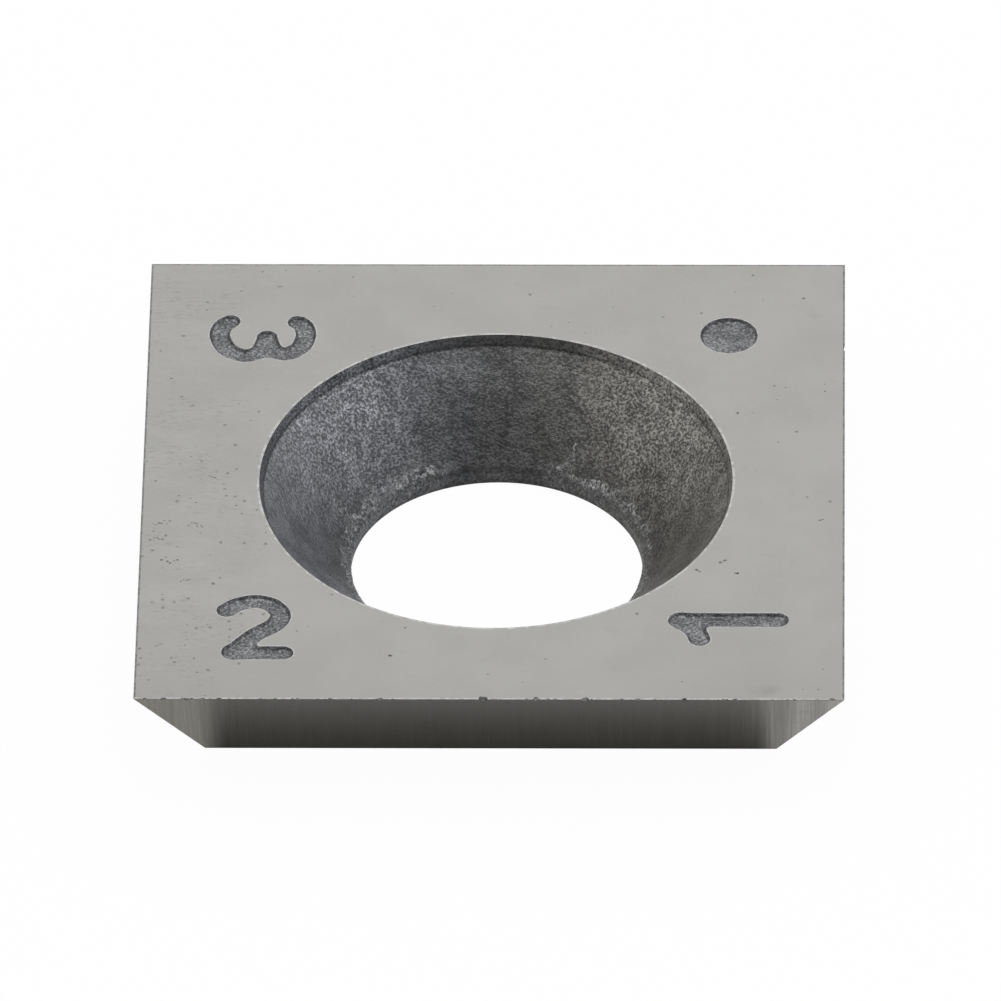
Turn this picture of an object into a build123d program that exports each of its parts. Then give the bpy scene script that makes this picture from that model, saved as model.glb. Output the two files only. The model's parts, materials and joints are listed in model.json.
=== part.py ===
from build123d import *
import os
from math import radians, tan

# Driving sizes of the square body, in millimetres and degrees
edge_length = 15.0
thickness = 2.5
relief_angle = 30.0

# Driving sizes of the screw hole, from the seat face up to the cutting face
bore_diameter = 6.25
bore_length = 0.2
throat_radius = 0.3
countersink_angle = 87.0
rim_land_depth = 0.24
rim_land_inset = 0.085

# Driving sizes of the round index recess in one corner of the cutting face
dot_diameter = 1.22
dot_depth = 0.08
dot_edge_distance = 2.5
dot_draft = 35.0
dot_floor_radius = 0.06

# The cone and the bore wall would meet in a sharp corner at this height.
# The throat radius rounds it off and leaves the bore wall its full length.
half_angle = radians(countersink_angle / 2)
corner_height = bore_length + throat_radius * tan(half_angle / 2)

# The cone opens upwards from that corner to the foot of the steep land under the rim
bore_radius = bore_diameter / 2
land_height = thickness - rim_land_depth
land_radius = bore_radius + (land_height - corner_height) * tan(half_angle)
rim_radius = land_radius + rim_land_inset

# The dot stands at the same distance from both cutting edges of its corner
dot_centre = edge_length / 2 - dot_edge_distance

with BuildPart() as insert:
    # Square block whose four flanks lean inwards below the edges of the cutting face.
    # A positive draft would widen the block downwards, so the relief is a negative one.
    with BuildSketch(Plane.XY):
        Rectangle(edge_length, edge_length)
    extrude(amount=thickness)
    flanks = insert.faces().filter_by(Axis.Z, reverse=True)
    draft(flanks, neutral_plane=Plane.XY.offset(thickness), angle=-relief_angle)

    # Screw hole: straight bore, rounded throat, countersink and steep rim land in one profile
    with BuildSketch(Plane.XZ):
        with BuildLine():
            Polyline(
                (0, 0),
                (bore_radius, 0),
                (bore_radius, corner_height),
                (land_radius, land_height),
                (rim_radius, thickness),
                (0, thickness),
                close=True,
            )
        hole_profile = make_face()
        throat_corner = hole_profile.vertices().sort_by_distance((bore_radius, corner_height))[0]
        fillet(throat_corner, radius=throat_radius)
    revolve(axis=Axis.Z, mode=Mode.SUBTRACT)

    # Index dot: a shallow pressed recess with drafted walls and a rounded floor edge
    with BuildSketch(Plane.XY.offset(thickness)):
        with Locations((dot_centre, dot_centre)):
            Circle(dot_diameter / 2)
    extrude(amount=dot_depth, dir=(0, 0, -1), taper=dot_draft, mode=Mode.SUBTRACT)
    dot_floor = insert.faces().filter_by(Plane.XY).sort_by_distance(
        (dot_centre, dot_centre, thickness - dot_depth)
    )[0]
    fillet(dot_floor.edges(), radius=dot_floor_radius)

insert.part.label = "insert"

os.makedirs("parts", exist_ok=True)
export_step(insert.part, "parts/insert.step")
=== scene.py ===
import bmesh
import bpy
import json
import math
import numpy as np
import random
from mathutils import Matrix, Vector, geometry, noise


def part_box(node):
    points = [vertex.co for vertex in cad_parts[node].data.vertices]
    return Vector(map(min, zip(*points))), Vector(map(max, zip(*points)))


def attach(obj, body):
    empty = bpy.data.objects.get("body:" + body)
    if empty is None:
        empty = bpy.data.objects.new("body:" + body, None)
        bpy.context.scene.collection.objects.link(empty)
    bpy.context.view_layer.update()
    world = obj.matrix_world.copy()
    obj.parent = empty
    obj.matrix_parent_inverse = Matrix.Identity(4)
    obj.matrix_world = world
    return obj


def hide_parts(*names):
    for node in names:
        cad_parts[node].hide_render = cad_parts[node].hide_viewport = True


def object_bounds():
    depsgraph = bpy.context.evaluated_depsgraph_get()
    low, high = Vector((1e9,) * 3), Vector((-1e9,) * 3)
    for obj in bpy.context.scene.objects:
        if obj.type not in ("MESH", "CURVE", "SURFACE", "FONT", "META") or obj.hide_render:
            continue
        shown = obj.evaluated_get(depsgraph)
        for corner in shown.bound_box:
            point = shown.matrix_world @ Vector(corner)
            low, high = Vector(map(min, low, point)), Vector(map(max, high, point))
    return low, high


# Seed of the small random shifts in the meshes, which without it would differ from run to run
JITTER_SEED = 5

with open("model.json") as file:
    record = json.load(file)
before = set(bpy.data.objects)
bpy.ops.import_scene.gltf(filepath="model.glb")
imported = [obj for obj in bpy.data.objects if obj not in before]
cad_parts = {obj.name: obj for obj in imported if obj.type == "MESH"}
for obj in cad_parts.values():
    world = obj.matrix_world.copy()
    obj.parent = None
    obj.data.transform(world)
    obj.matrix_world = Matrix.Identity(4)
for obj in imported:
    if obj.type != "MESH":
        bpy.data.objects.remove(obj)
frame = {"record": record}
cad_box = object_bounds()
noise.seed_set(JITTER_SEED)

# The insert is modelled in millimetres and brought to metres at the end
MM = 0.001

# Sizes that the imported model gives
record_mounts = {mount["name"]: mount for mount in frame["record"]["mounts"]}
HALF_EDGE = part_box("insert")[1].x / MM
FACE_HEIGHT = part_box("insert")[1].z / MM
BORE_RADIUS = record_mounts["screw_hole"]["dims"]["r_mm"]
BORE_LENGTH = record_mounts["screw_hole"]["dims"]["length_mm"]
RELIEF = math.asin(-record_mounts["flank_front"]["axis"][2])
SEAT_HALF = HALF_EDGE - FACE_HEIGHT * math.tan(RELIEF)

# Sizes of the screw hole above its bore, as in the part's source
CONE_HALF_ANGLE = math.radians(43.5)
LAND_DEPTH = 0.24
LAND_INSET = 0.085
THROAT_RADIUS = 0.3
LAND_FOOT = FACE_HEIGHT - LAND_DEPTH
CONE_FOOT = BORE_LENGTH + THROAT_RADIUS * math.tan(CONE_HALF_ANGLE / 2)
LAND_RADIUS = BORE_RADIUS + (LAND_FOOT - CONE_FOOT) * math.tan(CONE_HALF_ANGLE)
RIM_RADIUS = LAND_RADIUS + LAND_INSET

# Small roundings that the solid leaves out, and the bright strips beside them: painted highlight, on the
# front edge also wear
CUTTING_EDGE_RADIUS = 0.009
CORNER_RADIUS = 0.012
SEAT_EDGE_RADIUS = 0.03
RIM_LIP_RADIUS = 0.012
LAND_FOOT_RADIUS = 0.06
BORE_FOOT_RADIUS = 0.012
EDGE_STRIP = 0.03
LIP_STRIP = 0.03

# How finely the surfaces are divided
EDGE_STATIONS = 200
HOLE_STATIONS = 360
DOT_STATIONS = 120
CONE_POINTS = 24
ROUND_STEPS = 4
HOLE_ROUND_STEPS = 7
FLANK_SHARES = (0.04, 0.14, 0.4)
FACE_GRID = 0.28
MARK_FLOOR_GRID = 0.05
DOT_FLOOR_RINGS = 8

# Lengths in millimetres below which an edge is dissolved, and below which points or heights count as one
SHORTEST_EDGE = 1e-5
SAME_POINT = 1e-7
SAME_HEIGHT = 1e-4

# Marks pressed into the cutting face
MARK_DEPTH = 0.08
MARK_DRAFT = math.radians(35)
MARK_LIP_RADIUS = 0.012
MARK_FLOOR_RADIUS = 0.06
NUMERAL_HALF_WIDTH = 0.215
NUMERAL_ONE_HALF_WIDTH = 0.224
STROKE_BLEND = 0.16
OUTLINE_STEP = 0.022
DOT_CENTRE = HALF_EDGE - 2.5
DOT_RADIUS = 0.61


# Helpers for node trees

class Signal:
    """What flows out of a node's socket. Arithmetic on it adds math nodes to its tree."""

    def __init__(self, socket):
        self.socket = socket
        self.tree = socket.id_data

    def __add__(self, other):
        return maths("ADD", self, other)

    def __sub__(self, other):
        return maths("SUBTRACT", self, other)

    def __rsub__(self, other):
        return maths("SUBTRACT", other, self)

    def __mul__(self, other):
        return maths("MULTIPLY", self, other)

    def __truediv__(self, other):
        return maths("DIVIDE", self, other)

    def __rtruediv__(self, other):
        return maths("DIVIDE", other, self)

    def __abs__(self):
        return maths("ABSOLUTE", self)


def tree_of(*values):
    return next(value.tree for value in values if isinstance(value, Signal))


def feed(socket, value):
    """Links a signal to the socket, or sets a plain value on it."""
    if isinstance(value, Signal):
        value.tree.links.new(value.socket, socket)
    else:
        socket.default_value = value


def new_node(tree, kind, inputs=None, **settings):
    """A node with its settings, and its inputs by name or number."""
    node = tree.nodes.new(kind)
    for name, value in settings.items():
        setattr(node, name, value)
    for socket, value in (inputs or {}).items():
        feed(node.inputs[socket], value)
    return node


def outputs_of(node):
    return {socket.name: Signal(socket) for socket in node.outputs}


def add(tree, kind, inputs=None, output=0, **settings):
    """Adds a node and gives one of its outputs."""
    return Signal(new_node(tree, kind, inputs, **settings).outputs[output])


def maths(operation, *values, clamp=False):
    inputs = dict(enumerate(values))
    return add(tree_of(*values), "ShaderNodeMath", inputs, operation=operation, use_clamp=clamp)


def scale_and_add(value, factor, extra):
    return maths("MULTIPLY_ADD", value, factor, extra)


def vector_maths(operation, vector, other=None, output=0):
    """The other operand is a factor for SCALE and a vector for the rest."""
    inputs = {0: vector}
    if other is not None:
        inputs["Scale" if operation == "SCALE" else 1] = other
    return add(vector.tree, "ShaderNodeVectorMath", inputs, output, operation=operation)


def vector_of(x, y, z=0.0):
    return add(tree_of(x, y, z), "ShaderNodeCombineXYZ", {0: x, 1: y, 2: z})


def parts_of(vector):
    return list(outputs_of(new_node(vector.tree, "ShaderNodeSeparateXYZ", {0: vector})).values())


def millimetres(tree):
    """The point on the piece in millimetres, from Object coordinates."""
    return vector_maths("SCALE", add(tree, "ShaderNodeTexCoord", output="Object"), 1 / MM)


def distance_from_axis(x, y):
    return maths("SQRT", x * x + y * y)


def noise_at(point, scale, detail, roughness=0.5, distortion=0.0, output=0):
    return add(point.tree, "ShaderNodeTexNoise", {
        "Vector": point, "Scale": scale, "Detail": detail, "Roughness": roughness,
        "Distortion": distortion}, output)


def ramp(value, start, end, low=0.0, high=1.0):
    """Takes the value from low to high, with soft ends, as it goes from start to end."""
    return add(value.tree, "ShaderNodeMapRange", {
        "Value": value, "From Min": start, "From Max": end, "To Min": low, "To Max": high},
        "Result", interpolation_type="SMOOTHSTEP")


def mix(share, first, second, kind="RGBA", blend="MIX"):
    """Goes from the first colour to the second with the share. With kind VECTOR it mixes vectors."""
    tree = tree_of(share, first, second)
    node = new_node(tree, "ShaderNodeMix", {"Factor": share}, data_type=kind, blend_type=blend)
    ends = [socket for socket in node.inputs if socket.type == kind and socket.name in "AB"]
    for socket, value in zip(ends, (first, second)):
        feed(socket, value)
    return Signal([socket for socket in node.outputs if socket.type == kind][0])


def grey(level, warmth=0.0):
    """A grey as a linear colour, a little yellow for a positive warmth and blue for a negative one."""
    return (level * (1 + 0.45 * warmth), level * (1 + 0.1 * warmth), level * (1 - warmth), 1.0)


def new_group(name, inputs, kind="ShaderNodeTree"):
    """A node tree and its inputs. Each is given by its default, or by its kind where it has none."""
    tree = bpy.data.node_groups.new(name, kind)
    for label, given in inputs.items():
        socket_kind = given if isinstance(given, str) else {float: "Float", int: "Int"}[type(given)]
        socket = tree.interface.new_socket(label, in_out="INPUT", socket_type="NodeSocket" + socket_kind)
        if given != socket_kind:
            socket.default_value = given
    return tree, outputs_of(tree.nodes.new("NodeGroupInput"))


def close_group(tree, outputs, kind="Float"):
    """Gives the tree its outputs and returns it."""
    for label in outputs:
        tree.interface.new_socket(label, in_out="OUTPUT", socket_type="NodeSocket" + kind)
    end = tree.nodes.new("NodeGroupOutput")
    for label, value in outputs.items():
        feed(end.inputs[label], value)
    return tree


# Effects that several finishes share

def make_grain_group():
    """Speckle of a coarse pressed and sintered skin: fine grains gathered in loose clumps."""
    tree, given = new_group("sintered grain", {"Grain size": 0.05, "Clumping": 0.35})
    point = millimetres(tree)
    fine_scale = 1.0 / given["Grain size"]
    fine = noise_at(point, fine_scale, 2.0, 0.6)
    clumps = noise_at(point, fine_scale / 5.0, 2.0)
    grain = ramp(fine + (clumps - 0.5) * given["Clumping"], 0.35, 0.66)
    return close_group(tree, {"Grain": grain, "Clumps": ramp(clumps, 0.3, 0.7)})


def make_grinding_group():
    """Fine parallel lines left by a grinding wheel, from the distances across and along them."""
    tree, given = new_group("grinding lines", {"Across": 0.0, "Along": 0.0, "Spacing": 0.03, "Run": 1.5})
    across = given["Across"] / given["Spacing"]
    along = given["Along"] / given["Run"]
    other_slice = 7.0
    fine = noise_at(vector_of(across, along), 1.0, 3.0, 0.65)
    wide = noise_at(vector_of(across, along, other_slice), 0.12, 2.0)
    return close_group(tree, {"Lines": ramp(fine, 0.3, 0.7), "Bands": ramp(wide, 0.3, 0.7)})


def make_near_edges_group():
    """Mask of the narrow strip beside the cutting edges and the rim of the hole, uneven in width."""
    tree, given = new_group("near edges", {
        "Width": 0.05, "Half edge": HALF_EDGE, "Rim radius": RIM_RADIUS, "Face height": FACE_HEIGHT})
    point = millimetres(tree)
    x, y, z = parts_of(point)
    below = given["Face height"] - z
    reached = {"Half edge": maths("MAXIMUM", abs(x), abs(y)), "Rim radius": distance_from_axis(x, y)}
    gaps = []
    for edge, place in reached.items():
        gap = given[edge] - place
        gaps.append(maths("SQRT", gap * gap + below * below))
    width = given["Width"] * ramp(noise_at(point, 6.0, 4.0), 0.3, 0.7, 0.4, 1.5)
    share = maths("MINIMUM", *gaps) / width
    return close_group(tree, {"Nearness": ramp(share, 0.3, 1.0, 1.0, 0.0)})


def make_stain_group():
    """Faint blots and dried marks of handling, with soft irregular borders."""
    tree, given = new_group("stains", {"Size": 1.5, "Rarity": 0.6})
    point = millimetres(tree)
    scale = 1.0 / given["Size"]
    blots = noise_at(point, scale, 5.0, 0.55, 0.6)
    stretched = add(tree, "ShaderNodeMapping", {"Vector": point, "Scale": (0.5, 1.5, 1.0)})
    smears = noise_at(stretched, scale, 6.0, 0.6, 0.3)
    stain = ramp(blots, given["Rarity"], given["Rarity"] + 0.12)
    return close_group(tree, {"Stain": stain, "Smear": ramp(smears, 0.3, 0.7)})


def make_speck_group():
    """Separate dark specks of dirt, uneven in shape and size. Share is how many of the places hold one."""
    tree, given = new_group("specks", {"Spacing": 0.3, "Size": 0.05, "Share": 0.2})
    point = millimetres(tree)
    crumple = vector_maths("SCALE", noise_at(point, 14.0, 2.0, output="Color"), given["Size"])
    crumpled = vector_maths("ADD", point, crumple)
    cells = outputs_of(new_node(tree, "ShaderNodeTexVoronoi", {
        "Vector": crumpled, "Scale": 1.0 / given["Spacing"]}, voronoi_dimensions="2D"))
    presence, growth, _ = parts_of(cells["Color"])
    radius = given["Size"] * ramp(growth, 0.0, 1.0, 0.35, 1.0)
    gap = cells["Distance"] * given["Spacing"]
    dot = ramp(gap / radius, 0.4, 1.1, 1.0, 0.0)
    return close_group(tree, {"Specks": dot * maths("LESS_THAN", presence, given["Share"])})


effects = {"grain": make_grain_group(), "grinding": make_grinding_group(), "near_edges": make_near_edges_group(),
           "stains": make_stain_group(), "specks": make_speck_group()}


def add_effect(tree, name, inputs):
    """Places a shared effect in a material with its own values, and gives its outputs by name."""
    node = new_node(tree, "ShaderNodeGroup", node_tree=effects[name])
    for label, value in inputs.items():
        feed(node.inputs[label], value)
    return outputs_of(node)


# Finishes of the insert

# A soft dried smudge near the front right corner of the cutting face: its place, and how it is squeezed
SMUDGE_PLACE = (5.75, -7.15, FACE_HEIGHT)
SMUDGE_SQUEEZE = (1.0, 1.6, 1.0)


def new_finish(name):
    material = bpy.data.materials.new(name)
    material.use_nodes = True
    return material, material.node_tree


def bump(height, depth, strength=1.0, under=None):
    """A normal from a height, with the depth in millimetres."""
    inputs = {"Height": height, "Distance": depth * MM, "Strength": strength}
    if under is not None:
        inputs["Normal"] = under
    return add(height.tree, "ShaderNodeBump", inputs)


def dress(material, colour, roughness, normal):
    """Sets what the surface looks like. All of the insert is bare metal."""
    surface = material.node_tree.nodes["Principled BSDF"].inputs
    surface["Metallic"].default_value = 1.0
    feed(surface["Base Color"], colour)
    feed(surface["Roughness"], roughness)
    feed(surface["Normal"], normal)
    return material


def make_ground_face():
    """Cutting face: satin ground carbide, with faint lines, specks and smears left by handling."""
    material, tree = new_finish("ground_face")
    point = millimetres(tree)
    x, y, _ = parts_of(point)
    grain = add_effect(tree, "grain", {"Grain size": 0.04, "Clumping": 0.3})
    lines = add_effect(tree, "grinding", {"Across": y, "Along": x, "Spacing": 0.05, "Run": 3.0})
    stains = add_effect(tree, "stains", {"Size": 0.8, "Rarity": 0.62})
    scuffs = add_effect(tree, "stains", {"Size": 0.1, "Rarity": 0.7})
    # The left side has been handled most, and dirt has gathered there in its front half
    handled = ramp(x, -0.55 * HALF_EDGE, -0.85 * HALF_EDGE)
    touched = handled * ramp(y, 2.5, -0.5, 0.12, 1.0)
    gathered = ramp(noise_at(point, 0.9, 2.0), 0.42, 0.62, 0.2, 1.0)
    speck_share = gathered * ramp(touched, 0.0, 1.0, 0.04, 0.6)
    specks = add_effect(tree, "specks", {"Spacing": 0.24, "Size": 0.05, "Share": speck_share})["Specks"]
    mottling = noise_at(point, 0.7, 5.0)
    colour = mix(ramp(mottling, 0.3, 0.7), grey(0.372, 0.032), grey(0.402, 0.028))
    colour = mix(grain["Grain"] * 0.3, colour, grey(0.42, 0.03))
    colour = mix(lines["Lines"] * 0.05, colour, grey(0.3, 0.03))
    # The two front corners are a little darker
    forwards = ramp(y, -0.45 * HALF_EDGE, -HALF_EDGE)
    sideways = ramp(abs(x), 0.1 * HALF_EDGE, 0.8 * HALF_EDGE, 0.3, 1.0)
    colour = mix(forwards * sideways * 0.4, colour, grey(0.32, 0.04))
    colour = mix(stains["Smear"] * handled * 0.3, colour, grey(0.33, 0.05))
    colour = mix(stains["Stain"] * 0.12, colour, grey(0.25, 0.05))
    colour = mix(specks * 0.7, colour, grey(0.16, 0.02))
    streaks = ramp(scuffs["Smear"], 0.55, 1.0) * gathered * handled
    colour = mix(streaks * 0.3, colour, grey(0.18, 0.05))
    from_smudge = vector_maths("MULTIPLY", vector_maths("SUBTRACT", point, SMUDGE_PLACE), SMUDGE_SQUEEZE)
    reach = vector_maths("LENGTH", from_smudge, output="Value")
    smudge = ramp(reach, 0.05, 0.5, 0.6, 0.0) * ramp(mottling, 0.3, 0.55)
    colour = mix(smudge, colour, grey(0.22, 0.12))
    height = grain["Grain"] + lines["Lines"] * 0.4
    return dress(material, colour, ramp(grain["Clumps"], 0.0, 1.0, 0.37, 0.41), bump(height, 0.0005))


def make_grained(name, grain_size, clumping, dark, light, low_roughness, high_roughness, depth):
    """A finish of grain alone, with its roughness changing from clump to clump."""
    material, tree = new_finish(name)
    grain = add_effect(tree, "grain", {"Grain size": grain_size, "Clumping": clumping})
    roughness = ramp(grain["Clumps"], 0.0, 1.0, low_roughness, high_roughness)
    return dress(material, mix(grain["Grain"], dark, light), roughness, bump(grain["Grain"], depth))


def make_ground_flank():
    """Flanks: ground across the edge, so their lines run from the cutting edge down to the seat."""
    material, tree = new_finish("ground_flank")
    facing = parts_of(add(tree, "ShaderNodeTexCoord", output="Normal"))
    x, y, z = parts_of(millimetres(tree))
    faces_sideways = maths("GREATER_THAN", abs(facing[0]), abs(facing[1]))
    along_edge = add(tree, "ShaderNodeMix", {"Factor": faces_sideways, "A": x, "B": y}, data_type="FLOAT")
    lines = add_effect(tree, "grinding", {"Across": along_edge, "Along": z, "Spacing": 0.045, "Run": 3.0})
    grain = add_effect(tree, "grain", {"Grain size": 0.04, "Clumping": 0.3})
    stains = add_effect(tree, "stains", {"Size": 0.8, "Rarity": 0.6})
    near_edges = add_effect(tree, "near_edges", {"Width": 0.05})["Nearness"]
    near_corner = ramp(abs(along_edge), 0.6 * HALF_EDGE, 0.85 * HALF_EDGE, 0.15, 1.0)
    left_end_shade = ramp(x, -0.6 * HALF_EDGE, -0.85 * HALF_EDGE, 0.0, 0.9)
    # Painted shade: the flanks darken towards the seat, where they mirror the shadowed floor under the
    # overhang
    colour = mix(ramp(z, 0.0, FACE_HEIGHT), grey(0.16, 0.12), grey(0.215, 0.05))
    # Painted shade: towards the left the flanks are darker and warmer, with fewer bright grinding lines
    colour = mix(left_end_shade, colour, grey(0.09, 0.35))
    line_share = lines["Lines"] * near_corner * scale_and_add(left_end_shade, -0.6, 0.85)
    colour = mix(line_share, colour, grey(0.35, 0.06))
    colour = mix(lines["Bands"] * near_corner * 0.5, colour, grey(0.15, 0.06))
    colour = mix(grain["Grain"] * 0.12, colour, grey(0.3, 0.05))
    colour = mix(stains["Stain"] * 0.2, colour, grey(0.13, 0.08))
    # The flanks are darker in the narrow strip just under the cutting edges
    colour = mix(near_edges * 0.6, colour, grey(0.1, 0.03))
    height = lines["Lines"] + grain["Grain"] * 0.4
    return dress(material, colour, ramp(lines["Bands"], 0.0, 1.0, 0.34, 0.4), bump(height, 0.0008))


# Crust round the throat: the lowest and highest place of its ragged top
CRUST_TOP = (0.38, 0.62)
# Tongues that run up the wall from the crust: azimuth in degrees, half width, rise and lean
CRUST_TONGUES = [
    (157.0, 4.0, 0.42, 16.0), (62.0, 2.6, 0.4, 0.0), (36.0, 5.0, 0.12, 0.0), (143.0, 6.0, 0.1, 0.0)]


def crust_share(point):
    """The torn crust round the throat at a point in millimetres: its share, the height above its ragged top,
    and how much crust that side of the hole has at all."""
    x, y, z = parts_of(point)
    azimuth = maths("DEGREES", maths("ARCTAN2", y, x))
    top = ramp(noise_at(point, 5.0, 3.0), 0.25, 0.75, *CRUST_TOP)
    for place, half_width, rise, lean in CRUST_TONGUES:
        leaning = scale_and_add(z, -lean, place + lean)
        top = top + ramp(abs(azimuth - leaning), 0.0, half_width, rise, 0.0)
    above = z - top
    covered = ramp(above, -0.04, 0.03, 1.0, 0.0)
    radius = distance_from_axis(x, y)
    presence = ramp(abs(x) / radius, 0.2, 0.52) * maths("LESS_THAN", radius, RIM_RADIUS)
    presence = presence * ramp(noise_at(point, 1.4, 2.0), 0.38, 0.52, 0.55, 1.0)
    return covered * presence, above, presence


def make_sintered_skin():
    """Hole and marks: the rough grey skin that the furnace leaves, never ground."""
    material, tree = new_finish("sintered_skin")
    point = millimetres(tree)
    x, y, z = parts_of(point)
    grain = add_effect(tree, "grain", {"Grain size": 0.062, "Clumping": 0.2})
    coarse = add_effect(tree, "grain", {"Grain size": 0.13, "Clumping": 0.6})
    near_edges = add_effect(tree, "near_edges", {"Width": 0.03})["Nearness"]
    crust, above_crust, crust_presence = crust_share(point)
    in_hole = maths("LESS_THAN", distance_from_axis(x, y), RIM_RADIUS + 0.1)
    # In the hole the skin gets crisper towards the back, apart from its middle; as painted light it is bluer
    # and lighter on the left and warmer on the right
    middle_back = ramp(y, 0.5, 3.0) * ramp(abs(x), 3.4, 0.8)
    crispness = ramp(scale_and_add(x, 0.35, y), -1.5, 3.0, 0.5, 1.0)
    crispness = crispness * scale_and_add(middle_back, -0.4, 0.95)
    crispness = maths("MAXIMUM", crispness, crust)
    crispness = scale_and_add(crispness - 0.7, in_hole, 0.7)
    warmth = scale_and_add(ramp(x, -3.0, 3.5, -0.35, 0.65), in_hole, 0.35)
    dark = mix(warmth, grey(0.115, -0.08), grey(0.11, 0.07))
    light = mix(warmth, grey(0.45, -0.07), grey(0.41, 0.07))
    colour = mix(crispness, mix(0.42, dark, light), mix(grain["Grain"], dark, light))
    colour = mix(coarse["Grain"] * 0.25, colour, grey(0.13))
    # Painted shade: the walls of the marks are darker than their floors
    wall = maths("SUBTRACT", ramp(z, FACE_HEIGHT - 0.065, FACE_HEIGHT - 0.045), in_hole, clamp=True)
    # Painted light and shade on the land: lighter to the right and front, darker at the left and back, and a
    # painted shade line at its foot
    land = ramp(z, LAND_FOOT - 0.02, LAND_FOOT + 0.02) * in_hole
    land_share = ramp(scale_and_add(y, -0.5, x), -1.0, 2.2, -0.12, 0.45)
    foot = ramp(abs(z - (LAND_FOOT + 0.01)), 0.015, 0.05, 1.0, 0.0) * in_hole
    # Painted shade darkens the wall towards the throat, and most of all in the middle of the back
    depth_shade = ramp(z, 0.4, 0.9 * FACE_HEIGHT, 0.79, 1.08)
    # Painted light: the back of the hole is a little lighter than its front; outside the hole the marks are
    # a little darker
    rear = ramp(y, 0.5, 3.0, 0.95, 1.07)
    middle_back = middle_back * ramp(z, 2.1, 1.3, 0.75, 1.0)
    patches = ramp(noise_at(point, 1.6, 3.0, distortion=0.5), 0.3, 0.7, 0.78, 1.16)
    shade = depth_shade * scale_and_add(wall, -0.25, 1.0) * scale_and_add(in_hole, rear - 0.82, 0.82)
    shade = shade * scale_and_add(land, land_share, 1.0) * scale_and_add(foot, -0.35, 1.0)
    shade = shade * scale_and_add(middle_back, -0.47, 1.0) * patches
    shade_colour = add(tree, "ShaderNodeCombineColor", {0: shade, 1: shade, 2: shade})
    colour = mix(1.0, colour, shade_colour, blend="MULTIPLY")
    turned = maths("ARCTAN2", y, x) * BORE_RADIUS
    fibres = noise_at(vector_of(turned, z * 0.75), 13.0, 4.0, 0.65, 1.2)
    crusty = mix(ramp(fibres, 0.4, 0.7), grey(0.1, -0.02), grey(0.48, -0.01))
    colour = mix(crust * 0.55, colour, crusty)
    # The torn border of the crust gets a painted highlight, and the wall just above it a painted shadow
    border = ramp(abs(above_crust + 0.03), 0.015, 0.07, 0.7, 0.0)
    torn = ramp(fibres, 0.45, 0.62) * crust_presence
    colour = mix(border * torn, colour, grey(0.55, -0.01))
    crust_shadow = ramp(above_crust, 0.0, 0.06) * ramp(above_crust, 0.4, 0.08) * crust_presence
    colour = mix(crust_shadow * 0.4, colour, grey(0.1, 0.02))
    # Painted highlight: the skin is lighter in the narrow strip along the rim of the hole
    colour = mix(near_edges * 0.4, colour, grey(0.4, 0.03))
    normal = bump(grain["Grain"] * crispness, 0.012, 0.9, bump(coarse["Grain"], 0.01, 0.5))
    return dress(material, colour, ramp(grain["Grain"], 0.0, 1.0, 0.56, 0.42), normal)


finishes = {finish.name: finish for finish in (
    make_ground_face(),
    make_ground_flank(),
    # Narrow bright strips along the border of the front edge, of the hole and of the marks: painted
    # highlight, and on the front edge also wear from use
    make_grained("lip_wear_and_highlight", 0.12, 0.6, grey(0.38, 0.02), grey(0.55, 0.01), 0.32, 0.48, 0.001),
    # Cutting edges: the thin rounded line where the ground surfaces meet, dulled and finely nicked
    make_grained("worn_edge", 0.05, 0.8, grey(0.18, 0.02), grey(0.33), 0.45, 0.6, 0.003),
    make_sintered_skin(),
    # Chips and pits: broken carbide, coarse and without any ground surface left
    make_grained("fracture", 0.03, 0.6, grey(0.15), grey(0.38), 0.35, 0.6, 0.006),
)}
FINISH_INDEX = {name: index for index, name in enumerate(finishes)}


# Cross sections and outlines

def rounded(points, radii):
    """A bent line with its inner corners rounded by true arcs, each of ROUND_STEPS steps."""
    line = [Vector(points[0])]
    for before, corner, after, radius in zip(points, points[1:], points[2:], radii):
        corner = Vector(corner)
        back = (Vector(before) - corner).normalized()
        ahead = (Vector(after) - corner).normalized()
        half_opening = back.angle(ahead) / 2
        centre = corner + (back + ahead).normalized() * radius / math.sin(half_opening)
        start = corner + back * radius / math.tan(half_opening) - centre
        end = corner + ahead * radius / math.tan(half_opening) - centre
        turn = start.angle_signed(end)
        for step in range(ROUND_STEPS + 1):
            line.append(centre + Matrix.Rotation(-turn * step / ROUND_STEPS, 2) @ start)
    line.append(Vector(points[-1]))
    return line


def smooth_line(points, steps=8):
    """A smooth curve through a few points, as a fine polyline."""
    points = [Vector(point) for point in points]
    padded = [2 * points[0] - points[1], *points, 2 * points[-1] - points[-2]]
    line = []
    for a, b, c, d in zip(padded, padded[1:], padded[2:], padded[3:]):
        bend = 2 * a - 5 * b + 4 * c - d
        twist = 3 * b - a - 3 * c + d
        for step in range(steps):
            t = step / steps
            line.append(0.5 * (2 * b + (c - a) * t + bend * t * t + twist * t ** 3))
    return np.array([*line, points[-1]])


def stroke_distance(points, line):
    """How far each point lies from a stroke's centre line."""
    start, run = line[:-1], line[1:] - line[:-1]
    offset = points[:, None, :] - start[None, :, :]
    share = np.clip((offset * run).sum(2) / (run * run).sum(1), 0, 1)
    return np.sqrt(((offset - share[..., None] * run) ** 2).sum(2)).min(1)


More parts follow.
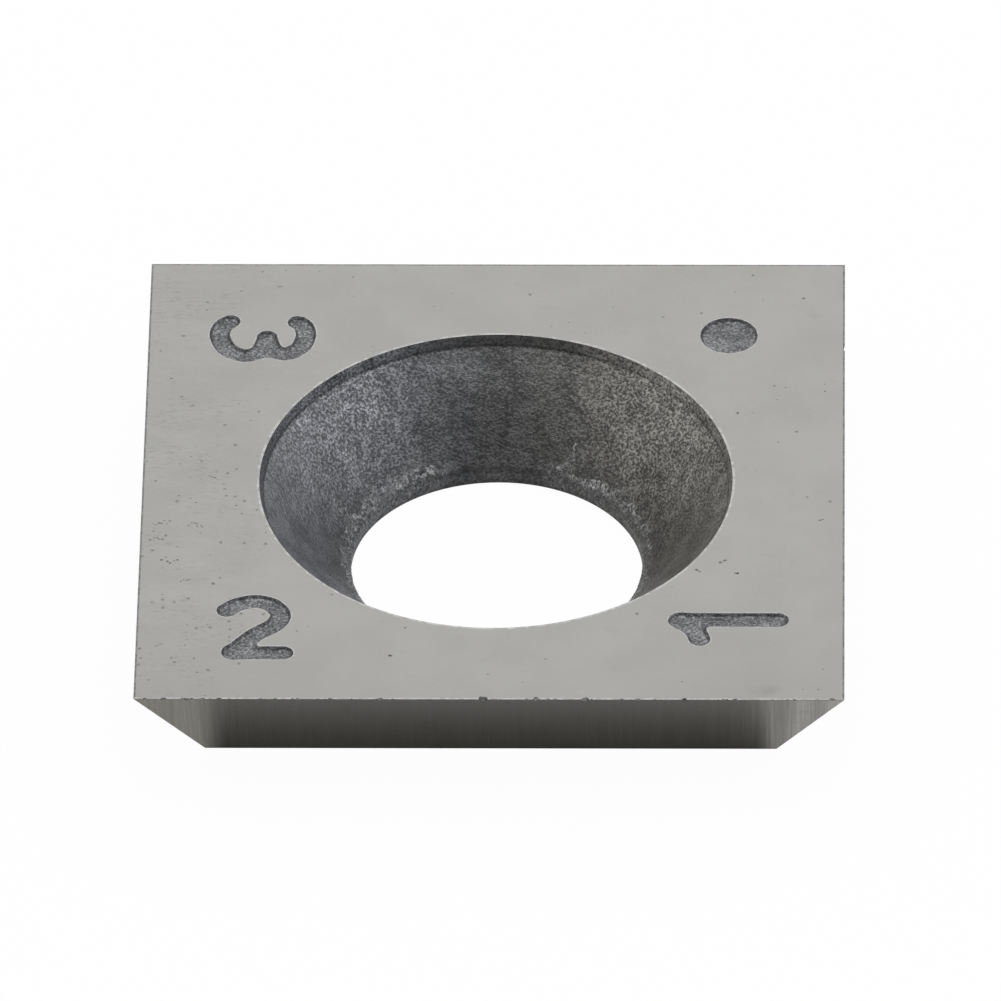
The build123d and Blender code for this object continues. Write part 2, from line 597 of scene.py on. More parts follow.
class Mark:
    """The outline of a pressed mark, as the line at half its width from smoothly joined strokes."""

    def __init__(self, strokes, half_width, centre, turn):
        self.strokes = strokes
        self.half_width = half_width
        self.centre = Vector(centre)
        self.turn = Matrix.Rotation(math.radians(turn), 2)

    def level(self, points):
        """Distance outside the outline, negative inside. Strokes flow together where they meet."""
        joined = stroke_distance(points, self.strokes[0])
        for line in self.strokes[1:]:
            other = stroke_distance(points, line)
            near = np.maximum(STROKE_BLEND - np.abs(joined - other), 0) / STROKE_BLEND
            joined = np.minimum(joined, other) - near ** 2 * STROKE_BLEND / 4
        return joined - self.half_width

    def slope(self, points):
        reach = 0.002
        across = [self.level(points + step) - self.level(points - step) for step in np.eye(2) * reach]
        return np.stack(across, 1) / (2 * reach)

    def settle(self, points, target):
        """Moves points straight to the line where the level is the target."""
        rounds, least_slope = 5, 0.05
        for _ in range(rounds):
            slope = self.slope(points)
            gap = self.level(points) - target
            points = points - slope * (gap / np.maximum((slope ** 2).sum(1), least_slope))[:, None]
        return points

    def outline(self, step, target=0.0):
        """Walks once round the mark and returns evenly spaced points where the level is the target."""
        first, second = self.strokes[0][0], self.strokes[0][1]
        away = (first - second) / np.linalg.norm(first - second)
        start = self.settle((first + away * self.half_width)[None, :], target)
        walked = [start[0]]
        while len(walked) < 10 or np.linalg.norm(walked[-1] - walked[0]) > 1.2 * step:
            here = walked[-1][None, :]
            slope = self.slope(here)[0]
            forward = np.array([-slope[1], slope[0]]) / np.linalg.norm(slope)
            walked.append(self.settle(here + forward * step, target)[0])
        return np.array(walked)

    def from_face(self, points):
        """Places in the insert as points of the mark's own drawing."""
        back = self.turn.inverted()
        return np.array([back @ (Vector(point) - self.centre) for point in points])

    def on_face(self, points, drop):
        """Points of the mark's own drawing as places in the insert, below the cutting face."""
        lift = Vector((0, 0, FACE_HEIGHT - drop))
        return [(self.centre + self.turn @ Vector(point)).to_3d() + lift for point in points]


# Strokes of the three index numerals, each drawn upright about its own middle
NUMERAL_ONE = [
    np.array([(0.33, -1.035), (0.33, 1.025)]),
    smooth_line([(0.29, 1.02), (0.12, 0.85), (-0.08, 0.70), (-0.32, 0.62)]),
]
NUMERAL_TWO = [
    smooth_line([(-0.61, 0.57), (-0.37, 0.77), (0.0, 0.87), (0.34, 0.74), (0.53, 0.42), (0.41, 0.08),
                 (0.0, -0.27), (-0.43, -0.80)]),
    np.array([(-0.45, -0.87), (0.61, -0.87)]),
]
NUMERAL_THREE = [
    smooth_line([(-0.56, 0.75), (-0.41, 0.88), (-0.08, 0.93), (0.31, 0.82), (0.54, 0.54), (0.47, 0.28),
                 (0.28, 0.10)]),
    smooth_line([(-0.59, -0.71), (-0.40, -0.87), (-0.06, -0.92), (0.38, -0.75), (0.60, -0.41),
                 (0.50, -0.08), (0.28, 0.10)]),
    np.array([(-0.04, 0.10), (0.28, 0.10)]),
]
# The marks with their places on the cutting face and their turns in degrees
numerals = [
    Mark(NUMERAL_ONE, NUMERAL_ONE_HALF_WIDTH, (5.05, -5.13), 90),
    Mark(NUMERAL_TWO, NUMERAL_HALF_WIDTH, (-4.98, -5.07), 0),
    Mark(NUMERAL_THREE, NUMERAL_HALF_WIDTH, (-5.04, 4.88), -90),
]


# Mesh building, with loops of vertices as the common currency

def add_loop(mesh, points):
    return [mesh.verts.new(point) for point in points]


def add_face(mesh, vertices, finish, smooth):
    face = mesh.faces.new(vertices)
    face.material_index = FINISH_INDEX[finish]
    face.smooth = smooth
    return face


def add_band(mesh, upper, lower, finish, smooth=True):
    """A closed band of faces between two loops of equal length."""
    return [add_face(mesh, (upper[i - 1], lower[i - 1], lower[i], upper[i]), finish, smooth)
            for i in range(len(upper))]


def fill_loops(mesh, outer, holes, finish, inner=(), smooth=False):
    """Triangles inside the outer loop and outside the holes, through any inner vertices."""
    vertices = [vertex for loop in (outer, *holes) for vertex in loop] + list(inner)
    faces, first = [], 0
    for loop in (outer, *holes):
        faces.append(list(range(first, first + len(loop))))
        first += len(loop)
    flat = [vertex.co.to_2d() for vertex in vertices]
    inside_only = 1
    filled = geometry.delaunay_2d_cdt(flat, [], faces, inside_only, SAME_POINT)
    _, _, triangles, origins, _, regions = filled
    for triangle, region in zip(triangles, regions):
        if region == [0]:
            add_face(mesh, [vertices[origins[corner][0]] for corner in triangle], finish, smooth)


def press_mark(mesh, border, points_at, floor_points):
    """Lip, walls and floor of one recess, its loops given by points_at(inset, drop). Returns the border."""
    wall_run = MARK_DEPTH * math.tan(MARK_DRAFT)
    section = rounded([(-1, 0), (0, 0), (wall_run, MARK_DEPTH), (wall_run + 1, MARK_DEPTH)],
                      [MARK_LIP_RADIUS, MARK_FLOOR_RADIUS])[1:-1]
    loops = [add_loop(mesh, points_at(inset, drop)) for inset, drop in section]
    for upper, lower in zip(loops, loops[1:]):
        add_band(mesh, upper, lower, "sintered_skin")
    floor = add_loop(mesh, floor_points(section[-1][0]))
    fill_loops(mesh, loops[-1], [], "sintered_skin", floor, smooth=True)
    # The border round the recess takes the bright strip, a painted highlight
    border_loop = add_loop(mesh, border)
    fill_loops(mesh, border_loop, [loops[0]], "lip_wear_and_highlight")
    return border_loop


def floor_drop(point):
    """The floor of a recess is a little uneven, as pressed powder leaves it."""
    height, fineness = 0.012, 9.0
    return MARK_DEPTH + height * noise.noise(Vector((point[0], point[1], MARK_DEPTH)) * fineness)


def shifted(spots, fineness, reach):
    """Spots on a grid, each moved a little by noise, so that the triangles between them aren't regular."""
    shifts = [noise.noise_vector(Vector((*spot, 0)) * fineness)[:2] for spot in spots]
    return spots + np.array(shifts) * reach


def press_numeral(mesh, mark):
    rim = mark.outline(OUTLINE_STEP)
    settled = [rim]

    def points_at(inset, drop):
        settled.append(mark.settle(settled[-1], -inset))
        return mark.on_face(settled[-1], drop)

    def floor_points(inset):
        low, high = rim.min(0), rim.max(0)
        spots = np.array([(x, y) for x in np.arange(low[0], high[0], MARK_FLOOR_GRID)
                          for y in np.arange(low[1], high[1], MARK_FLOOR_GRID)])
        clear = 0.4 * MARK_FLOOR_GRID
        spots = shifted(spots, 30, clear)
        inside = spots[mark.level(spots) < -inset - clear]
        return [mark.on_face([spot], floor_drop(spot))[0] for spot in inside]

    border = mark.on_face(mark.outline(OUTLINE_STEP, LIP_STRIP), 0)
    return press_mark(mesh, border, points_at, floor_points)


def press_dot(mesh):
    centre = Vector((DOT_CENTRE, DOT_CENTRE))

    def points_at(inset, drop):
        radius = DOT_RADIUS - inset
        angles = [2 * math.pi * i / DOT_STATIONS for i in range(DOT_STATIONS)]
        return [(centre.x + radius * math.cos(angle), centre.y + radius * math.sin(angle),
                 FACE_HEIGHT - drop) for angle in angles]

    def floor_points(inset):
        spots = []
        for ring in range(1, DOT_FLOOR_RINGS + 1):
            radius = (DOT_RADIUS - inset) * ring / (DOT_FLOOR_RINGS + 1)
            for i in range(6 * ring):
                spot = centre + Matrix.Rotation(2 * math.pi * i / (6 * ring), 2) @ Vector((radius, 0))
                spots.append((spot.x, spot.y, FACE_HEIGHT - floor_drop(spot)))
        return spots

    return press_mark(mesh, points_at(-LIP_STRIP, 0), points_at, floor_points)


def square_stations():
    """Stations round the outline: a point on a square of half side 1, and the direction outwards there."""
    stations = []
    for quarter in range(4):
        turn = Matrix.Rotation(quarter * math.pi / 2, 2)
        for i in range(EDGE_STATIONS + 1):
            stations.append((turn @ Vector((2 * i / EDGE_STATIONS - 1, -1)), turn @ Vector((0, -1))))
        for i in range(1, ROUND_STEPS):
            swing = Matrix.Rotation(math.pi / 2 * i / ROUND_STEPS, 2)
            stations.append((turn @ Vector((1, -1)), turn @ swing @ Vector((0, -1))))
    return stations


def edge_radius(place):
    """The honed cutting edge is a little sharper in some places than in others."""
    share, fineness = 0.2, 2.2
    return CUTTING_EDGE_RADIUS * (1 + share * noise.noise(place.to_3d() * HALF_EDGE * fineness))


def outside_section(place):
    """Section of the outside at one station: strip, cutting edge, flank and seat edge."""
    corners = [(HALF_EDGE - 1, FACE_HEIGHT), (HALF_EDGE, FACE_HEIGHT), (SEAT_HALF, 0), (SEAT_HALF - 1, 0)]
    section = rounded(corners, [edge_radius(place), SEAT_EDGE_RADIUS])[1:-1]
    edge, seat_edge = section[:ROUND_STEPS + 1], section[ROUND_STEPS + 1:]
    strip = Vector((HALF_EDGE - 2 * CUTTING_EDGE_RADIUS - EDGE_STRIP, FACE_HEIGHT))
    flank = [edge[-1].lerp(seat_edge[0], share) for share in FLANK_SHARES]
    return [strip, *edge, *flank, *seat_edge]


def build_outside(mesh):
    """Cutting edges, flanks and seat edge. Returns the loops that bound the cutting face and the seat."""
    stations = square_stations()
    sections = [outside_section(place) for place, _ in stations]
    loops = []
    for level in range(len(sections[0])):
        points = []
        for (place, outwards), section in zip(stations, sections):
            half, height = section[level]
            spot = place * (half - CORNER_RADIUS) + outwards * CORNER_RADIUS
            points.append((spot.x, spot.y, height))
        loops.append(add_loop(mesh, points))
    flank_bands = range(ROUND_STEPS + 1, ROUND_STEPS + 2 + len(FLANK_SHARES))
    for number, (upper, lower) in enumerate(zip(loops, loops[1:])):
        finish = "worn_edge" if number <= ROUND_STEPS else "ground_flank"
        flat = number == 0 or number in flank_bands
        band = add_band(mesh, upper, lower, finish, smooth=not flat)
        if number <= ROUND_STEPS // 2:
            brighten_front_lip(band)
    return loops[0], loops[-1]


def brighten_front_lip(band):
    """The front edge, which has been in use, is rubbed bright on its upper side, and the bright strip there
    is also a painted highlight.
    """
    for face in band:
        if face.calc_center_median().y < -HALF_EDGE + EDGE_STRIP + 2 * CUTTING_EDGE_RADIUS:
            face.material_index = FINISH_INDEX["lip_wear_and_highlight"]


# Geometry nodes that turn the hole's section round its axis

HOLE_SIZES = {
    "Face height": FACE_HEIGHT, "Rim radius": RIM_RADIUS, "Land depth": LAND_DEPTH,
    "Land inset": LAND_INSET, "Bore radius": BORE_RADIUS, "Cone half angle": CONE_HALF_ANGLE,
    "Lip radius": RIM_LIP_RADIUS, "Land foot radius": LAND_FOOT_RADIUS, "Throat radius": THROAT_RADIUS,
    "Bore foot radius": BORE_FOOT_RADIUS, "Margin": 2 * RIM_LIP_RADIUS + LIP_STRIP,
    "Unevenness": 0.006, "Crust": 0.035, "Rim shift x": 0.05, "Rim shift y": -0.03,
    "Throat shift x": 0.05, "Throat shift y": -0.085,
}


def make_hole_tree():
    """Section line with rounded corners, swept round a circle to give the wall of the screw hole."""
    tree, given = new_group("countersunk hole", {
        "Geometry": "Geometry", "Stations": HOLE_STATIONS, "Cone points": CONE_POINTS, **HOLE_SIZES,
        "Finish": "Material"}, "GeometryNodeTree")
    labels = ("Face height", "Rim radius", "Bore radius", "Cone half angle", "Throat radius")
    face_height, rim_radius, bore_radius, half_angle, throat_radius = [given[label] for label in labels]
    land_height = face_height - given["Land depth"]
    cone_run = rim_radius - given["Land inset"] - bore_radius
    cone_rise = cone_run / maths("TANGENT", half_angle)
    cone_foot = land_height - cone_rise

    # Points of the section by number: the margin, the rim, the land's foot and the points down the cone,
    # then the throat corner, the bore's foot and the margin below
    number = add(tree, "GeometryNodeInputIndex")
    last_of_cone = given["Cone points"] + 2
    kind = maths("MINIMUM", number, 2.0) + maths("MAXIMUM", number - last_of_cone, 0.0)

    # The points down the cone crowd towards the throat and leave its rounding clear
    rounding = throat_radius * maths("TANGENT", half_angle / 2.0)
    first_share = rounding * 1.1 / (cone_rise / maths("COSINE", half_angle))
    even_share = maths("DIVIDE", last_of_cone - number, given["Cone points"], clamp=True)
    up_cone = scale_and_add(maths("POWER", even_share, 1.5), 1.0 - first_share, first_share)

    corners = [
        (rim_radius + given["Margin"], face_height),
        (rim_radius, face_height),
        (scale_and_add(cone_run, up_cone, bore_radius), scale_and_add(cone_rise, up_cone, cone_foot)),
        (bore_radius, cone_foot),
        (bore_radius, 0.0),
        (bore_radius + given["Margin"], 0.0),
    ]
    at_land_foot = maths("COMPARE", number, 2.0, 0.1)
    roundings = [0.0, given["Lip radius"], given["Land foot radius"] * at_land_foot, throat_radius,
                 given["Bore foot radius"], 0.0]

    def by_kind(data_type, values):
        switch = new_node(tree, "GeometryNodeIndexSwitch", data_type=data_type)
        while len(switch.index_switch_items) < len(values):
            switch.index_switch_items.new()
        for socket, value in zip(list(switch.inputs), [kind, *values]):
            feed(socket, value)
        return Signal(switch.outputs[0])

    reach = rim_radius + 1.0
    places = [vector_of(radius - reach, height * -1.0) for radius, height in corners]
    line = add(tree, "GeometryNodeMeshLine", {"Count": given["Cone points"] + len(corners)})
    bent = add(tree, "GeometryNodeSetPosition", {"Geometry": line, "Position": by_kind("VECTOR", places)})
    section = add(tree, "GeometryNodeMeshToCurve", {0: bent})
    filleted = add(tree, "GeometryNodeFilletCurve", {
        "Curve": section, "Count": HOLE_ROUND_STEPS, "Radius": by_kind("FLOAT", roundings)}, mode="POLY")
    path = add(tree, "GeometryNodeCurvePrimitiveCircle", {"Resolution": given["Stations"], "Radius": reach})
    swept = add(tree, "GeometryNodeCurveToMesh", {"Curve": path, "Profile Curve": filleted})

    # Slow waves of the pressed wall, and the crust that stands proud round the throat, but not at its front
    place = add(tree, "GeometryNodeInputPosition")
    _, y, z = parts_of(place)
    swing = (noise_at(place, 1.6, 2.0) - 0.5) * given["Unevenness"]
    proud = crust_share(place)[0] * ramp(noise_at(place, 9.0, 2.0), 0.3, 0.65)
    proud = proud * (given["Crust"] * ramp(y, -1.5, 0.0))
    clear_of_edges = ramp(z, 0.1, 0.35) * ramp(z, land_height - 0.3, land_height, 1.0, 0.0)
    shift = (swing * 5.0 - proud) * clear_of_edges
    outwards = vector_maths("NORMALIZE", vector_maths("MULTIPLY", place, (1.0, 1.0, 0.0)))
    # The hole stands slightly off the middle of the square, as in the photo, and the throat a little more
    rim_shift, throat_shift = [vector_of(given[end + " shift x"], given[end + " shift y"])
                               for end in ("Rim", "Throat")]
    sideways = mix(ramp(z, land_height, 0.5), rim_shift, throat_shift, "VECTOR")
    offset = vector_maths("ADD", vector_maths("SCALE", outwards, shift), sideways)
    uneven = add(tree, "GeometryNodeSetPosition", {"Geometry": swept, "Offset": offset})
    realized = add(tree, "GeometryNodeRealizeInstances", {0: uneven})
    finished = add(tree, "GeometryNodeSetMaterial", {"Geometry": realized, "Material": given["Finish"]})
    return close_group(tree, {"Geometry": finished}, "Geometry")


def new_object(name, data):
    made = bpy.data.objects.new(name, data)
    bpy.context.scene.collection.objects.link(made)
    return made


def set_tree_inputs(modifier, values):
    """Sets a node modifier's inputs by the identifiers of their sockets."""
    identifiers = {item.name: item.identifier for item in modifier.node_group.interface.items_tree
                   if item.item_type == "SOCKET" and item.in_out == "INPUT"}
    for label, value in values.items():
        modifier[identifiers[label]] = value


def as_plain_mesh(piece):
    """The piece's evaluated shape as a mesh of its own."""
    bpy.context.view_layer.update()
    depsgraph = bpy.context.evaluated_depsgraph_get()
    return bpy.data.meshes.new_from_object(piece.evaluated_get(depsgraph), depsgraph=depsgraph)


def discard(piece):
    data = piece.data
    bpy.data.objects.remove(piece)
    bpy.data.meshes.remove(data)


def run_tree(name, tree, values, mesh=None):
    """Runs a tree once on a helper object and returns the mesh that it makes."""
    helper = new_object(name, mesh or bpy.data.meshes.new(name))
    modifier = helper.modifiers.new(name, "NODES")
    modifier.node_group = tree
    set_tree_inputs(modifier, values)
    made = as_plain_mesh(helper)
    discard(helper)
    return made


def build_hole(mesh):
    """Adds the wall of the screw hole. Returns its loops in the cutting face and in the seat."""
    fineness = {"Stations": HOLE_STATIONS, "Cone points": CONE_POINTS}
    wall = run_tree("hole_wall", make_hole_tree(), {
        **HOLE_SIZES, **fineness, "Finish": finishes["sintered_skin"]})
    mesh.from_mesh(wall)
    bpy.data.meshes.remove(wall)
    for face in mesh.faces:
        height = face.calc_center_median().z
        # The lip of the rim and the margin beside it take the bright strip, a painted highlight
        if height > FACE_HEIGHT - 0.2 * RIM_LIP_RADIUS:
            finish = "lip_wear_and_highlight"
        elif height < 0.2 * BORE_FOOT_RADIUS:
            finish = "ground_flank"
        else:
            finish = "sintered_skin"
        face.material_index = FINISH_INDEX[finish]
        face.smooth = any(vertex.co.z != face.verts[0].co.z for vertex in face.verts)
    border = {vertex for edge in mesh.edges if edge.is_boundary for vertex in edge.verts}
    by_angle = sorted(border, key=lambda vertex: math.atan2(vertex.co.y, vertex.co.x))
    rim = [vertex for vertex in by_angle if vertex.co.z > FACE_HEIGHT / 2]
    seat_ring = [vertex for vertex in by_angle if vertex.co.z <= FACE_HEIGHT / 2]
    return rim, seat_ring


# Chips on the cutting edges and pits in the cutting face

# Chips seen on the front cutting edge: place along it, half length, half depth and half height
FRONT_CHIPS = [
    (-6.86, 0.07, 0.045, 0.05), (-6.4, 0.05, 0.04, 0.05), (-5.68, 0.06, 0.04, 0.04),
    (-4.03, 0.04, 0.04, 0.09), (-3.35, 0.05, 0.04, 0.05), (-2.28, 0.06, 0.045, 0.05),
    (-0.12, 0.1, 0.1, 0.11), (0.99, 0.06, 0.08, 0.05), (2.04, 0.08, 0.075, 0.06),
    (4.12, 0.06, 0.06, 0.06), (5.2, 0.05, 0.04, 0.04), (7.24, 0.07, 0.06, 0.05),
]
# The nick seen on the right edge: place, size and turn
RIGHT_NICK = ((HALF_EDGE, 4.55, FACE_HEIGHT), (0.04, 0.08, 0.1), 0.0)
# The pits seen in the cutting face, alone or in small clusters: place, reach, turn in degrees and count
SEEN_PITS = [
    (-2.1, -6.0, 0.1, 0, 1), (-6.0, 0.1, 0.1, -20, 4), (-5.1, 7.2, 0.04, 0, 1), (-4.7, 6.7, 0.05, 0, 2),
    (-6.3, -1.6, 0.16, -30, 6), (-7.05, -1.55, 0.2, 0, 7), (-7.0, -5.7, 0.1, 0, 4),
    (-5.35, -1.2, 0.04, 0, 1), (-7.15, -2.1, 0.15, -20, 5), (-6.85, -2.8, 0.2, -10, 6),
    (-6.5, -3.5, 0.12, 0, 4), (-5.9, -3.6, 0.04, 0, 1), (-1.8, -5.1, 0.04, 0, 1), (4.9, -2.8, 0.1, 20, 2),
    (4.38, -3.14, 0.08, -30, 2), (5.2, -3.2, 0.05, 0, 2), (6.6, 6.3, 0.05, 0, 1), (5.2, 2.3, 0.04, 0, 1),
    (4.4, 5.8, 0.04, 0, 1), (7.0, -1.4, 0.06, 10, 2),
]
LARGEST_SEEN_PIT = 0.07
# Tiny chips spread over each edge, the front one first: their number and the largest half size
TINY_CHIPS = [(70, 0.034), (9, 0.014), (9, 0.014), (9, 0.014)]
CHIPS_FROM_CORNER = 0.2
# Pits spread over the cutting face: their number and sizes, and how far they keep from its edges, from the
# rim, and from the middles of the numerals and the dot
RANDOM_PITS = 26
RANDOM_PIT_RADII = (0.012, 0.026)
PITS_FROM_EDGE = 0.3
PITS_FROM_RIM = 0.2
PITS_FROM_NUMERAL = 1.6
PITS_FROM_DOT = 0.9
DAMAGE_SEED = 27


def damage_sites():
    """Places, sizes and turns of all chips and pits, in millimetres and radians."""
    draw = random.Random(DAMAGE_SEED)
    tip = HALF_EDGE - 0.5 * CUTTING_EDGE_RADIUS
    sites = [((along, -tip, FACE_HEIGHT), size, 0.0) for along, *size in FRONT_CHIPS]
    sites.append(RIGHT_NICK)
    for quarter, (count, largest) in enumerate(TINY_CHIPS):
        turn = Matrix.Rotation(quarter * math.pi / 2, 3, "Z")
        for _ in range(count):
            along = draw.uniform(-1, 1) * (HALF_EDGE - CHIPS_FROM_CORNER)
            size = draw.uniform(0.4, 1.0) ** 2 * largest
            sites.append((turn @ Vector((along, -tip, FACE_HEIGHT)), (1.4 * size, size, size), 0.0))
    for x, y, reach, turned, count in SEEN_PITS:
        turn = math.radians(turned)
        for number in range(count):
            along = reach * (2 * (number + 0.5) / count - 1) if count > 1 else 0.0
            across = draw.uniform(-0.5, 0.5) * reach
            radius = draw.uniform(0.6, 1.0) * min(LARGEST_SEEN_PIT, 0.8 * reach / count + 0.012)
            spot = (x + along * math.cos(turn) - across * math.sin(turn),
                    y + along * math.sin(turn) + across * math.cos(turn), FACE_HEIGHT + 0.2 * radius)
            sites.append((spot, (radius, draw.uniform(0.6, 1.0) * radius, 0.55 * radius), turn))
    keep_out = [(mark.centre, PITS_FROM_NUMERAL) for mark in numerals]
    keep_out.append((Vector((0, 0)), RIM_RADIUS + PITS_FROM_RIM))
    keep_out.append((Vector((DOT_CENTRE, DOT_CENTRE)), PITS_FROM_DOT))
    placed = 0
    while placed < RANDOM_PITS:
        spot = Vector((draw.uniform(-1, 1), draw.uniform(-1, 1))) * (HALF_EDGE - PITS_FROM_EDGE)
        if any((spot - centre).length < reach for centre, reach in keep_out):
            continue
        radius = draw.uniform(*RANDOM_PIT_RADII)
        size = (radius, radius * draw.uniform(0.6, 1.0), 0.5 * radius)
        sites.append(((spot.x, spot.y, FACE_HEIGHT + 0.2 * radius), size, draw.uniform(0, math.pi)))
        placed += 1
    return sites


def make_damage_tree():
    """A small rough lump at each site, with the site's size and turn, to be cut out of the insert."""
    tree, given = new_group("chips and pits", {
        "Geometry": "Geometry", "Seed": DAMAGE_SEED, "Roughness": 0.5,
        "Finish": "Material"}, "GeometryNodeTree")
    size, turn = [add(tree, "GeometryNodeInputNamedAttribute", {"Name": name}, data_type="FLOAT_VECTOR")
                  for name in ("size", "turn")]
    lump = add(tree, "GeometryNodeMeshIcoSphere", {"Radius": 1.0, "Subdivisions": 2})
    lumps = add(tree, "GeometryNodeInstanceOnPoints", {
        "Points": given["Geometry"], "Instance": lump, "Rotation": turn, "Scale": size})
    realized = add(tree, "GeometryNodeRealizeInstances", {0: lumps})
    # The noise is read at a random shift from each vertex, so that no two lumps are alike
    random_shift = add(tree, "FunctionNodeRandomValue", {"Max": (0.0, 0.0, 6.28), "Seed": given["Seed"]},
                       data_type="FLOAT_VECTOR")
    place = vector_maths("ADD", add(tree, "GeometryNodeInputPosition"), random_shift)
    rough = vector_maths("SUBTRACT", noise_at(place, 14.0, 2.0, output="Color"), (0.5, 0.5, 0.5))
    offset = vector_maths("SCALE", vector_maths("MULTIPLY", rough, size), given["Roughness"])
    roughened = add(tree, "GeometryNodeSetPosition", {"Geometry": realized, "Offset": offset})
    finished = add(tree, "GeometryNodeSetMaterial", {"Geometry": roughened, "Material": given["Finish"]})
    return close_group(tree, {"Geometry": finished}, "Geometry")


def make_damage_mesh():
    sites = damage_sites()
    mesh = bpy.data.meshes.new("damage_sites")
    mesh.from_pydata([place for place, _, _ in sites], [], [])
    sizes = mesh.attributes.new("size", "FLOAT_VECTOR", "POINT")
    sizes.data.foreach_set("vector", [part for _, size, _ in sites for part in size])
    turns = mesh.attributes.new("turn", "FLOAT_VECTOR", "POINT")
    turns.data.foreach_set("vector", [part for _, _, turn in sites for part in (0.0, 0.0, turn)])
    return run_tree("damage", make_damage_tree(), {
        "Seed": DAMAGE_SEED, "Roughness": 0.9, "Finish": finishes["fracture"]}, mesh)


def cut_damage(piece):
    """Cuts the chips and pits out of the finished blank."""
    cutter = new_object("damage_cutter", make_damage_mesh())
    cut = piece.modifiers.new("damage", "BOOLEAN")
    cut.operation = "DIFFERENCE"
    cut.solver = "MANIFOLD"
    cut.material_mode = "TRANSFER"
    cut.object = cutter
    result = as_plain_mesh(piece)
    piece.modifiers.remove(cut)
    blank = piece.data
    piece.data = result
    bpy.data.meshes.remove(blank)
    discard(cutter)


def largest_shell(mesh):
    """The vertices of the biggest connected part of the mesh."""
    left, largest = set(mesh.verts), set()
    while left:
        found = [left.pop()]
        shell = set(found)
        while found:
            for edge in found.pop().link_edges:
                for vertex in edge.verts:
                    if vertex in left:
                        left.discard(vertex)
                        shell.add(vertex)
                        found.append(vertex)
        largest = max(largest, shell, key=len)
    return largest


def finish_mesh(mesh_data):
    """Drops loose splinters, flattens the ground faces, creases the chips and brings all to metres."""
    mesh = bmesh.new()
    mesh.from_mesh(mesh_data)
    kept = largest_shell(mesh)
    bmesh.ops.delete(mesh, geom=[vertex for vertex in mesh.verts if vertex not in kept], context="VERTS")
    for vertex in mesh.verts:
        for level in (0.0, FACE_HEIGHT):
            if abs(vertex.co.z - level) < SAME_HEIGHT:
                vertex.co.z = level
    fracture = [slot.name for slot in mesh_data.materials].index("fracture")
    for edge in mesh.edges:
        broken = [face.material_index == fracture for face in edge.link_faces]
        if any(broken) and not all(broken):
            edge.smooth = False
    bmesh.ops.dissolve_degenerate(mesh, dist=SHORTEST_EDGE, edges=mesh.edges)
    bmesh.ops.scale(mesh, vec=(MM, MM, MM), verts=mesh.verts)
    mesh.to_mesh(mesh_data)
    mesh.free()


def face_grid(mesh):
    """Loose vertices spread over the cutting face, clear of the hole and the marks."""
    clear = FACE_GRID / 3
    steps = np.arange(-HALF_EDGE + FACE_GRID, HALF_EDGE, FACE_GRID)
    spots = shifted(np.array([(x, y) for x in steps for y in steps]), 3, FACE_GRID / 4)
    spots = spots[np.abs(spots).max(1) < HALF_EDGE - 2 * CUTTING_EDGE_RADIUS - EDGE_STRIP - clear]
    spots = spots[np.hypot(*spots.T) > RIM_RADIUS + HOLE_SIZES["Margin"] + clear]
    spots = spots[np.hypot(*(spots - DOT_CENTRE).T) > DOT_RADIUS + 2 * LIP_STRIP + clear]
    for mark in numerals:
        spots = spots[mark.level(mark.from_face(spots)) > 2 * LIP_STRIP + clear]
    return add_loop(mesh, [(x, y, FACE_HEIGHT) for x, y in spots])


def build_insert():
    mesh = bmesh.new()
    rim, seat_ring = build_hole(mesh)
    face_loop, seat_loop = build_outside(mesh)
    mark_loops = [press_numeral(mesh, mark) for mark in numerals] + [press_dot(mesh)]
    fill_loops(mesh, face_loop, [rim, *mark_loops], "ground_face", face_grid(mesh))
    fill_loops(mesh, seat_loop, [seat_ring], "ground_flank")
    bmesh.ops.recalc_face_normals(mesh, faces=mesh.faces)
    data = bpy.data.meshes.new("carbide_insert")
    for material in finishes.values():
        data.materials.append(material)
    mesh.to_mesh(data)
    mesh.free()
    piece = new_object("carbide_insert", data)
    cut_damage(piece)
    finish_mesh(piece.data)
    return piece


# Studio: pale floor, soft light and the camera

# Half the side of the floor and its gap under the seat, in metres
FLOOR_HALF = 0.6
FLOOR_GAP = 0.00001


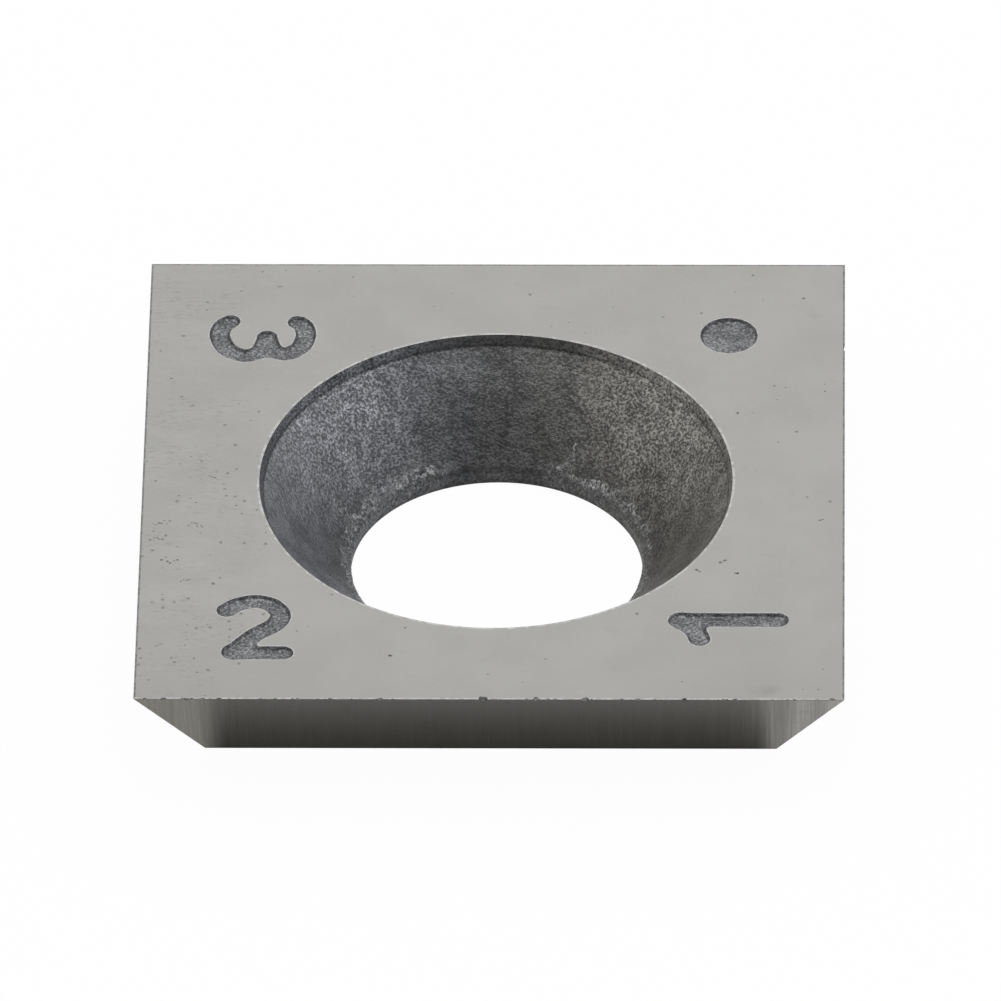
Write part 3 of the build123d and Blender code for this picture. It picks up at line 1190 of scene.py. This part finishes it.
def make_floor_finish():
    """Matt white floor, nearly white to the camera, and beside the insert and under its corners also to
    mirror and glass rays.
    """
    material, tree = new_finish("studio_floor")
    shader = tree.nodes["Principled BSDF"]
    point = millimetres(tree)
    feed(shader.inputs["Base Color"], mix(noise_at(point, 0.4, 3.0), grey(0.9), grey(0.92)))
    shader.inputs["Roughness"].default_value = 0.9
    shader.inputs["Specular IOR Level"].default_value = 0.2
    rays = outputs_of(new_node(tree, "ShaderNodeLightPath"))
    x, y, _ = parts_of(point)
    sides = [abs(x), abs(y)]
    beside = ramp(maths("MAXIMUM", *sides), HALF_EDGE - 0.5, HALF_EDGE + 3.0)
    # Painted light: the floor under the corners is mostly white to mirror and glass rays, which the ends of
    # the flanks reflect
    painted_light_under_corner = ramp(maths("MINIMUM", *sides), SEAT_HALF - 0.5, SEAT_HALF + 0.35, 0.0, 0.85)
    mirrored = maths("MAXIMUM", rays["Is Glossy Ray"], rays["Is Transmission Ray"])
    mirrored = mirrored * maths("MAXIMUM", beside, painted_light_under_corner)
    white_share = maths("MAXIMUM", rays["Is Camera Ray"], mirrored) * 0.97
    white = add(tree, "ShaderNodeEmission", {"Color": (1.0, 1.0, 1.0, 1.0), "Strength": 1.0})
    mixed = add(tree, "ShaderNodeMixShader", {0: white_share, 1: Signal(shader.outputs[0]), 2: white})
    feed(tree.nodes["Material Output"].inputs["Surface"], mixed)
    return material


def build_floor():
    half, level = FLOOR_HALF, cad_box[0].z - FLOOR_GAP
    corners = [(-half, -half, level), (half, -half, level), (half, half, level), (-half, half, level)]
    data = bpy.data.meshes.new("studio_floor")
    data.from_pydata(corners, [], [(0, 1, 2, 3)])
    data.materials.append(make_floor_finish())
    floor = new_object("studio_floor", data)


def light_studio():
    """A soft white tent: brightest overhead, dim towards the front and a little brighter on the right."""
    world = bpy.data.worlds.new("studio")
    bpy.context.scene.world = world
    world.use_nodes = True
    tree = world.node_tree
    x, y, z = parts_of(add(tree, "ShaderNodeTexCoord", output="Generated"))
    level = scale_and_add(maths("POWER", maths("MAXIMUM", z, 0.0), 1.5), 0.75, 0.7)
    front = ramp(y, -0.9, 0.1, 0.25, 1.0)
    side = scale_and_add(x, 0.15, 1.0)
    background = tree.nodes["Background"]
    background.inputs["Color"].default_value = (1.0, 1.0, 1.0, 1.0)
    feed(background.inputs["Strength"], level * front * side)


def place_camera():
    """The camera stands where the photograph was taken from, with a long lens."""
    yaw, pitch, roll = math.radians(-1.155), math.radians(38.325), math.radians(0.627)
    target = Vector((0.143, -0.011, 1.925)) * MM
    distance = 0.4596
    camera = bpy.data.cameras.new("photo_camera")
    camera.lens = 773.8
    camera.sensor_width = 36.0
    holder = new_object("photo_camera", camera)
    facing = (Matrix.Rotation(-yaw, 4, "Z") @ Matrix.Rotation(math.pi / 2 - pitch, 4, "X")
              @ Matrix.Rotation(-roll, 4, "Z"))
    away = facing @ Vector((0, 0, 1))
    holder.matrix_world = Matrix.Translation(target + away * distance) @ facing
    bpy.context.scene.camera = holder


insert = build_insert()
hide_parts("insert")
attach(insert, "root")
build_floor()
light_studio()
place_camera()
bpy.context.scene.view_settings.view_transform = "Standard"
